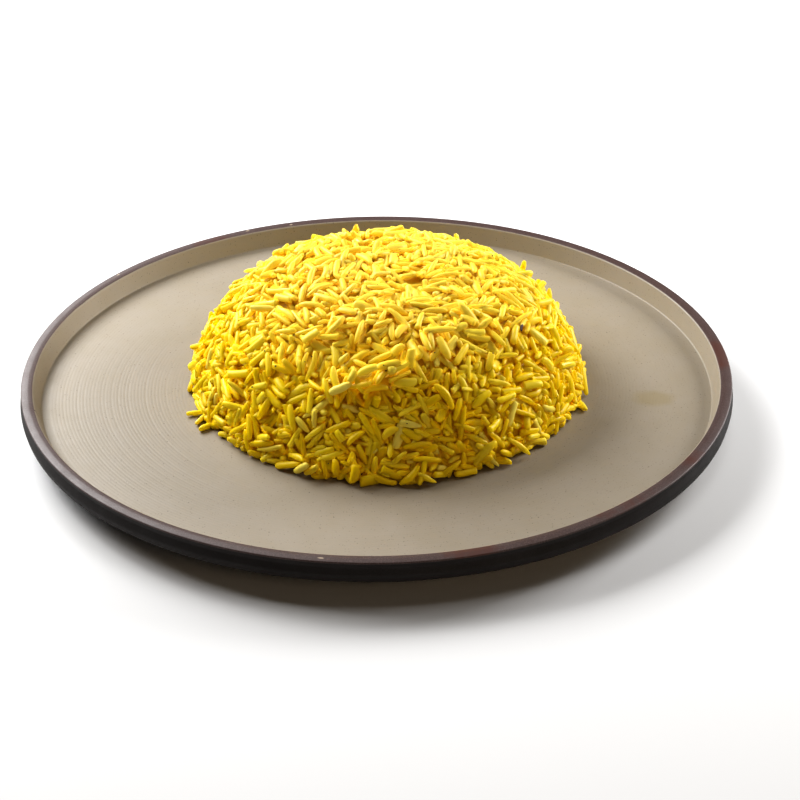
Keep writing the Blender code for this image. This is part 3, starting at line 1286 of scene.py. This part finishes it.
@dataclass
class RiceHeap:
    """The heap: a core, and the grains pressed on it, in pieces of one kind each."""

    x: float = 4.4 * MM
    y: float = 2.0 * MM
    floor: float = 9.55 * MM
    mould: Mould = field(default_factory=Mould)
    width: float = 2.4 * MM
    width_spread: float = 0.20
    thickness: float = 2.2 * MM
    thickness_range: Span = (0.85, 1.08)
    loose_depth: float = 2.4 * MM
    rest_height: float = 1.3 * MM
    pit_share: float = 0.02
    proud_share: float = 0.42
    proud_lift: float = 1.0 * MM
    proud_tilt: float = math.radians(15.0)
    laid_lift: float = 0.7 * MM
    highest: float = 58.4 * MM
    roll: float = math.radians(35.0)
    lump_depth: float = 0.9 * MM
    lump_spacing: float = 24.0 * MM
    clump_depth: float = 0.65 * MM
    clump_spacing: float = 8.5 * MM
    clump_middle: float = 0.15
    grain_bend: float = 0.30 * MM
    grain_bend_spacing: float = 4.4 * MM
    bend_shifts: tuple[tuple[float, float, float], ...] = (
        (0.0, 0.0, 0.0), (31.4, 7.1, 12.7), (5.3, 47.9, 23.1)
    )
    core_inset: float = 3.2 * MM
    core_blend: float = 6.0 * MM
    core_rough: float = 0.7 * MM
    core_rough_spacing: float = 2.6 * MM
    strays: tuple[tuple[float, float, float, float], ...] = (
        (-159.5, 77.2 * MM, 8.0, 7.0 * MM),
        (-156.0, 76.4 * MM, 62.0, 8.5 * MM),
        (-151.0, 76.6 * MM, 35.0, 8.0 * MM),
        (-19.0, 76.8 * MM, 104.0, 7.0 * MM),
    )
    fleck_count: int = 42
    fleck_size: tuple[float, float, float] = (0.60 * MM, 0.32 * MM, 0.20 * MM)
    fleck_size_range: Span = (0.7, 1.4)
    fleck_shift: float = 0.3
    fleck_lift: float = 0.52
    fleck_depth: float = 1.3 * MM
    fleck_lowest: float = 4.0 * MM
    shred_place: tuple[float, float, float] = (47.6 * MM, -30.0 * MM, 35.6 * MM)
    shred_size: tuple[float, float, float] = (3.6 * MM, 1.1 * MM, 0.7 * MM)
    shred_lift: float = 2.2 * MM
    shred_line: tuple[float, float, float] = (0.0, -0.25, 1.0)
    seed: int = 5
    shape_seed: int = 40
    fleck_shape_seed: int = 70

    def kinds(self) -> dict[GrainKind, KindOfGrain]:
        """Say how much of each kind there is, and how it looks.

        Returns:
            What stands for each kind.
        """
        dyed = CookedRice("cooked turmeric rice", "#EECA06", "#F2D210", "#F6DD2E")
        bowed = CookedRice("cooked turmeric rice, bowed grains", "#EEC906", "#F2D110", "#F6DC32")
        broken = CookedRice("broken turmeric rice", "#EECC08", "#F2D410", "#F6DE34")
        pale = CookedRice(
            "cooked rice with little dye", "#F2D426", "#F6DE46", "#F8E66E", scatter_reach=1.0 * MM
        )
        return {
            GrainKind.STRAIGHT: KindOfGrain(0.42, STRAIGHT_SHAPES, dyed),
            GrainKind.BOWED: KindOfGrain(0.30, BOWED_SHAPES, bowed),
            GrainKind.BROKEN: KindOfGrain(0.20, BROKEN_SHAPES, broken),
            GrainKind.PALE: KindOfGrain(0.08, PALE_SHAPES, pale),
        }

    def lumps(self, points: np.ndarray) -> np.ndarray:
        """How far the heap's surface stands out or in beside each point.

        Args:
            points: Rows of x, y, z from the middle of the heap's base.

        Returns:
            The moves outwards.
        """
        lump, clump = (
            np.array([noise.noise(Vector(point) / spacing) for point in points])
            for spacing in (self.lump_spacing, self.clump_spacing)
        )
        rise = lump * self.lump_depth + (clump - self.clump_middle) * self.clump_depth
        return rise + sum(fold.height(points) for fold in FOLDS)

    def origin(self) -> np.ndarray:
        """The middle of the heap's base."""
        return np.array([self.x, self.y, self.floor])

    def build(self) -> list[bpy.types.Object]:
        """Press the grains, loosen some, and build every piece of the heap.

        Returns:
            The pieces.
        """
        draw = np.random.default_rng(self.seed)
        grains = self._loosened(Pressing(self.mould).press(), draw)
        grains = grains.joined(self._strays()).joined(self._laid())
        count = len(grains.centre)
        stocks = self.kinds()
        kinds = list(stocks)
        fate = draw.choice(len(kinds), size=count, p=[stock.share for stock in stocks.values()])
        fate[-len(LAID_GRAINS):] = [kinds.index(grain.kind) for grain in LAID_GRAINS]
        size = np.stack([
            grains.length,
            self.width * np.exp(draw.normal(0, self.width_spread, count)),
            self.thickness * draw.uniform(*self.thickness_range, count),
        ], 1)
        size[-len(LAID_GRAINS):, 1] = [grain.width * MM for grain in LAID_GRAINS]
        pieces = [self.core()]
        for number, (kind, stock) in enumerate(stocks.items()):
            chosen = fate == number
            layer = GrainLayer(stock.shapes, self.shape_seed)
            piece = layer.lay(
                kind.value,
                grains.pick(chosen),
                size[chosen],
                draw.integers(0, layer.count, chosen.sum()),
                {"Dye spread": 1.0, "Dye seed": 3, "Finish": stock.finish.build()},
            )
            layer.clear()
            self._bend(piece.data)
            pieces.append(piece)
        pieces.append(self._flecks(grains, draw))
        for piece in pieces:
            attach(piece, "root")
            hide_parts("rice")
        return pieces

    def _strays(self) -> Grains:
        """Lay the few grains that are loose on the plate at the foot of the heap.

        Returns:
            The grains.
        """
        rows = np.array(self.strays)
        azimuth, heading = np.radians(rows[:, 0]), np.radians(rows[:, 2])
        level = np.zeros(len(rows))
        centre = np.stack([np.cos(azimuth), np.sin(azimuth), level], 1) * rows[:, 1:2]
        centre[:, 2] = self.thickness / 2
        along = np.stack([np.cos(heading), np.sin(heading), level], 1)
        up = np.tile((0.0, 0.0, 1.0), (len(rows), 1))
        return Grains(centre + self.origin(), along, up, rows[:, 3])

    def _laid(self) -> Grains:
        """Lay the grains that stand out, on top of the surface beside them.

        Returns:
            The grains.
        """
        starts = np.array([grain.start for grain in LAID_GRAINS]) * MM
        ends = np.array([grain.end for grain in LAID_GRAINS]) * MM
        middle = (starts + ends) / 2
        _, outward = self.mould.depth(middle)
        middle += outward * (self.lumps(middle) + self.laid_lift)[:, None]
        line = ends - starts
        return Grains(middle + self.origin(), unit(line), outward, np.linalg.norm(line, axis=1))

    def _flecks(self, grains: Grains, draw: np.random.Generator) -> bpy.types.Object:
        """Stick flecks of spice on the outer grains, and one shred where the photo shows it.

        Args:
            grains: The heap's grains.
            draw: The source of random numbers.

        Returns:
            The piece.
        """
        deep, outward = self.mould.depth(grains.centre - self.origin())
        high = grains.centre[:, 2] > self.floor + self.fleck_lowest
        outer = np.flatnonzero((deep < self.fleck_depth) & high)
        chosen = draw.choice(outer, self.fleck_count, replace=False)
        shift = draw.uniform(-self.fleck_shift, self.fleck_shift, self.fleck_count)
        shift *= grains.length[chosen]
        size = np.array(self.fleck_size) * draw.uniform(*self.fleck_size_range, (self.fleck_count, 1))
        outward = outward[chosen]
        centre = grains.centre[chosen] + grains.along[chosen] * shift[:, None]
        centre += outward * self.thickness * self.fleck_lift
        lie = unit(np.cross(outward, draw.normal(size=(self.fleck_count, 3))))
        spot = np.array([self.shred_place])
        _, outward[:1] = self.mould.depth(spot)
        centre[0] = spot[0] + outward[0] * (self.lumps(spot)[0] + self.shred_lift) + self.origin()
        lie[0] = unit(np.cross(self.shred_line, outward[:1]))[0]
        size[0] = self.shred_size
        form = np.zeros(self.fleck_count, int)
        form[0] = 1
        layer = GrainLayer(FLECK_SHAPES, self.fleck_shape_seed)
        piece = layer.lay(
            "spice_flecks",
            Grains(centre, lie, outward, size[:, 0]),
            size,
            form,
            {"Dye spread": 1.0, "Dye seed": 4, "Finish": DriedSpice().build()},
        )
        layer.clear()
        return piece

    def _bend(self, mesh: bpy.types.Mesh) -> None:
        """Make every grain a little different, as soft grains that have been pressed are.

        Args:
            mesh: The piece's mesh.
        """
        for vertex in mesh.vertices:
            place = vertex.co / self.grain_bend_spacing
            push = [noise.noise(place + Vector(shift)) for shift in self.bend_shifts]
            vertex.co += Vector(push) * self.grain_bend

    def _loosened(self, grains: Grains, draw: np.random.Generator) -> Grains:
        """Turn the pressed grains out of the bowl: lumps, pits and grains that stand proud.

        Args:
            grains: The grains as pressed.
            draw: The source of random numbers.

        Returns:
            The grains in the frame's coordinates.
        """
        deep, outward = self.mould.depth(grains.centre)
        count = len(deep)
        outer = deep < self.loose_depth
        pit = outer & (draw.random(count) < self.pit_share)
        proud = outer & (draw.random(count) < self.proud_share)
        low = self.rest_height
        centre = grains.centre + outward * self.lumps(grains.centre)[:, None]
        centre += outward * (proud * draw.uniform(0, self.proud_lift, count))[:, None]
        tilt = proud * draw.normal(0, self.proud_tilt, count)
        along = unit(grains.along + outward * np.tan(tilt)[:, None])
        roll = draw.normal(0, self.roll, count)
        side = np.cross(outward, along)
        up = outward * np.cos(roll)[:, None] + side * np.sin(roll)[:, None]
        reach = np.abs(along[:, 2]) * (grains.length / 2 - low) + low
        centre[:, 2] = np.maximum(centre[:, 2], np.minimum(reach, grains.centre[:, 2] + low))
        centre += self.origin()
        centre[:, 2] = np.minimum(centre[:, 2], self.highest - reach)
        return Grains(centre, along, up, grains.length).pick(~pit)

    def core(self) -> bpy.types.Object:
        """Build the core under the grains, rough with the grains that lie deeper.

        Returns:
            The core piece.
        """
        shape = bmesh.new()
        bmesh.ops.create_icosphere(shape, subdivisions=6, radius=1.0)
        inner = Mould(
            self.mould.radius - self.core_inset,
            self.mould.height - self.core_inset,
            self.mould.r_power,
            self.mould.z_power,
        )
        for vert in shape.verts:
            direction = vert.co.copy()
            direction.z = max(direction.z, 0.0)
            if vert.co.z <= 0:
                vert.co = Vector((direction.x, direction.y, 0.0)) * inner.radius
                continue
            grow = inner.along(direction)
            rough = noise.noise(direction * grow / self.core_rough_spacing) * self.core_rough
            place = direction * (grow + rough)
            share = min(place.z / self.core_blend, 1.0)
            vert.co = place * (1 + share * self.lumps(np.array([place]))[0] / place.length)
        bmesh.ops.transform(shape, matrix=Matrix.Translation(Vector(self.origin())), verts=shape.verts)
        bmesh.ops.recalc_face_normals(shape, faces=shape.faces)
        finish = CookedRice("cooked rice in the core", "#ECC804", "#EECC06", "#F0D20A")
        return make_piece("rice_core", baked(shape, "rice_core"), finish.build())


@dataclass(frozen=True)
class SoftLight:
    """A square soft light that looks at the plate.

    Azimuth is counted from +X towards +Y, and elevation from the table.
    """

    name: str
    azimuth: float
    elevation: float
    distance: float
    size: float
    power: float
    colour: str = "#FFFFFF"

    def build(self, target: Vector) -> bpy.types.Object:
        """Hang the light and turn it to the target.

        Args:
            target: Where it looks.

        Returns:
            The light.
        """
        lamp = bpy.data.lights.new(self.name, "AREA")
        lamp.shape = "SQUARE"
        lamp.size = self.size
        lamp.energy = self.power
        lamp.color = linear(self.colour)[:3]
        light = add_object(self.name, lamp)
        azimuth, elevation = math.radians(self.azimuth), math.radians(self.elevation)
        away = Vector((
            math.cos(azimuth) * math.cos(elevation),
            math.sin(azimuth) * math.cos(elevation),
            math.sin(elevation),
        ))
        light.location = target + away * self.distance
        light.rotation_euler = away.to_track_quat("Z", "Y").to_euler()
        light.visible_camera = False
        return light


@dataclass
class Studio:
    """A white table, soft lights and the camera, as for a menu picture."""

    rim_height: float
    camera_distance: float = 791.4 * MM
    camera_elevation: float = 28.81
    camera_pan: float = -0.63
    camera_tilt: float = 1.02
    camera_roll: float = -0.73
    lens: float = 93.0
    sensor: float = 36.0
    table_radius: float = 6.0
    table_gap: float = 0.1 * MM
    lights: tuple[SoftLight, ...] = (
        SoftLight("softbox_back_left", 129.0, 37.5, 1.20, 0.60, 12.6),
        SoftLight("softbox_left", 160.0, 38.0, 0.62, 0.30, 2.5),
        SoftLight("strip_back_left", 124.0, 25.0, 0.62, 0.20, 0.8),
        SoftLight("softbox_right", 27.0, 23.0, 0.62, 0.24, 3.4),
        SoftLight("front_fill", 300.0, 22.0, 1.20, 0.50, 1.4, "#FFE0B8"),
        SoftLight("top_fill", 0.0, 74.0, 0.70, 0.30, 0.7),
    )
    bounces: int = 12
    extra_bounces: int = 4
    sky: float = 0.02
    contrast: str = "Medium High Contrast"

    def build(self) -> None:
        """Build the table, the lights, the pale surroundings and the camera."""
        self._table()
        target = Vector((0.0, 0.0, self.rim_height))
        for light in self.lights:
            light.build(target)
        self._surroundings()
        self._camera(target)
        bpy.context.scene.cycles.diffuse_bounces = self.bounces
        bpy.context.scene.cycles.max_bounces = self.bounces + self.extra_bounces
        view = bpy.context.scene.view_settings
        view.view_transform = "Standard"
        view.look = self.contrast

    def _table(self) -> None:
        """Lay a large disc of white paper under the plate."""
        shape = bmesh.new()
        bmesh.ops.create_circle(shape, cap_ends=True, segments=96, radius=self.table_radius)
        bmesh.ops.translate(shape, verts=shape.verts, vec=(0, 0, -self.table_gap))
        make_piece("studio_table", baked(shape, "studio_table"), StudioPaper().build())

    def _surroundings(self) -> None:
        """Show white to the camera and give the plate only a low, even light."""
        world = bpy.data.worlds.new("white studio")
        bpy.context.scene.world = world
        world.use_nodes = True
        tree = world.node_tree
        tree.nodes.clear()
        seen = add_node(tree, "ShaderNodeLightPath").outputs["Is Camera Ray"]
        strength = add_node(tree, "ShaderNodeMapRange", {
            "Value": seen, "To Min": self.sky, "To Max": 1.0,
        }).outputs["Result"]
        glow = add_node(tree, "ShaderNodeBackground", {"Color": linear("#FFFFFF"), "Strength": strength})
        add_node(tree, "ShaderNodeOutputWorld", {"Surface": glow.outputs["Background"]})

    def _camera(self, target: Vector) -> None:
        """Set the camera where the photograph was taken from.

        Args:
            target: The middle of the plate at the height of its rim.
        """
        lens = bpy.data.cameras.new("camera")
        lens.lens = self.lens
        lens.sensor_width = self.sensor
        lens.clip_start = 0.05
        lens.clip_end = 50.0
        camera = add_object("camera", lens)
        elevation = math.radians(self.camera_elevation)
        back = Vector((0.0, -math.cos(elevation), math.sin(elevation)))
        turned = (
            Matrix.Rotation(math.pi / 2 - elevation, 4, "X")
            @ Matrix.Rotation(-math.radians(self.camera_tilt), 4, "X")
            @ Matrix.Rotation(math.radians(self.camera_pan), 4, "Y")
            @ Matrix.Rotation(math.radians(self.camera_roll), 4, "Z")
        )
        camera.matrix_world = Matrix.Translation(target + back * self.camera_distance) @ turned
        bpy.context.scene.camera = camera


def main() -> None:
    """Build the plate, the heap and the studio in order, and report each piece."""
    logging.basicConfig(level=logging.INFO, format="%(message)s")
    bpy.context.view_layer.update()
    plate = Plate()
    pieces = [plate.build(), *RiceHeap().build()]
    for piece in pieces:
        log.info("%s: %d triangles", piece.name, sum(len(f.vertices) - 2 for f in piece.data.polygons))
    Studio(rim_height=plate.height).build()


if __name__ == "__main__":
    main()
